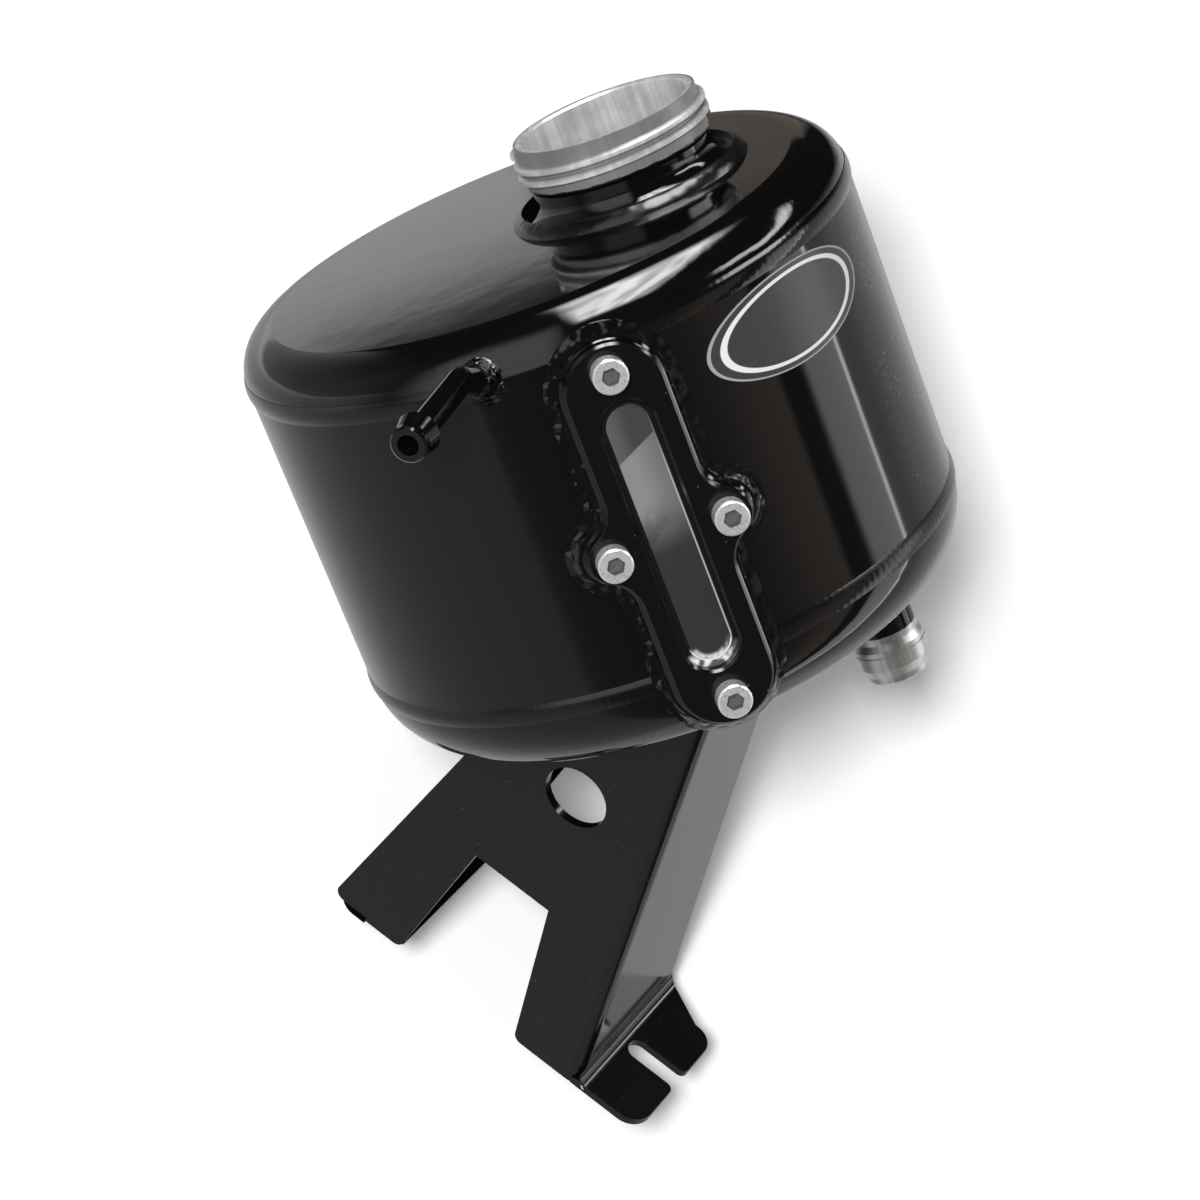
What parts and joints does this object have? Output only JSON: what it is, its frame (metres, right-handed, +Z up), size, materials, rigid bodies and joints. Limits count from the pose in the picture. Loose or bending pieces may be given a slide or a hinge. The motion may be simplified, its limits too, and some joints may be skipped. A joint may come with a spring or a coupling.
{
  "type": "coolant expansion tank",
  "caption": "Round welded aluminium coolant expansion tank with a threaded filler neck, bolted sight glass, hose tails and an angled folded-sheet mounting bracket.",
  "frame": {"origin": "on the underside of the two feet, midway between the fixing bolts in their open slots", "axes": "+Z up along the drum's axis, sight glass facing -Y, filler neck offset to +X"},
  "size_m": [0.1967, 0.2285, 0.2837],
  "materials": {
    "black_powder_coat": "gloss",
    "neck_metal": "machined",
    "outlet_metal": "machined",
    "stainless_screw": "satin",
    "clear_window": "polished",
    "seal_rubber": "matte",
    "label_film": "gloss"
  },
  "bodies": {
    "root": {"base_end_cap": "black_powder_coat", "base_seam_weld": "black_powder_coat", "bracket_base_weld": "black_powder_coat", "bracket_corner_weld": "black_powder_coat", "bracket_front_sheet": "black_powder_coat", "bracket_side_sheet": "black_powder_coat", "cover_screw_bottom": "stainless_screw", "cover_screw_left": "stainless_screw", "cover_screw_right": "stainless_screw", "cover_screw_top": "stainless_screw", "drum_wrapper": "black_powder_coat", "filler_neck": "neck_metal", "filler_neck_weld": "black_powder_coat", "outlet_tube": "outlet_metal", "outlet_weld": "black_powder_coat", "oval_label": "label_film", "sight_glass_block": "black_powder_coat", "sight_glass_block_weld": "black_powder_coat", "sight_glass_cover": "black_powder_coat", "sight_window": "clear_window", "top_end_cap": "black_powder_coat", "top_seam_weld": "black_powder_coat", "vent_hose_tail": "black_powder_coat", "vent_weld": "black_powder_coat", "window_seal": "seal_rubber"}
  },
  "joints": []
}
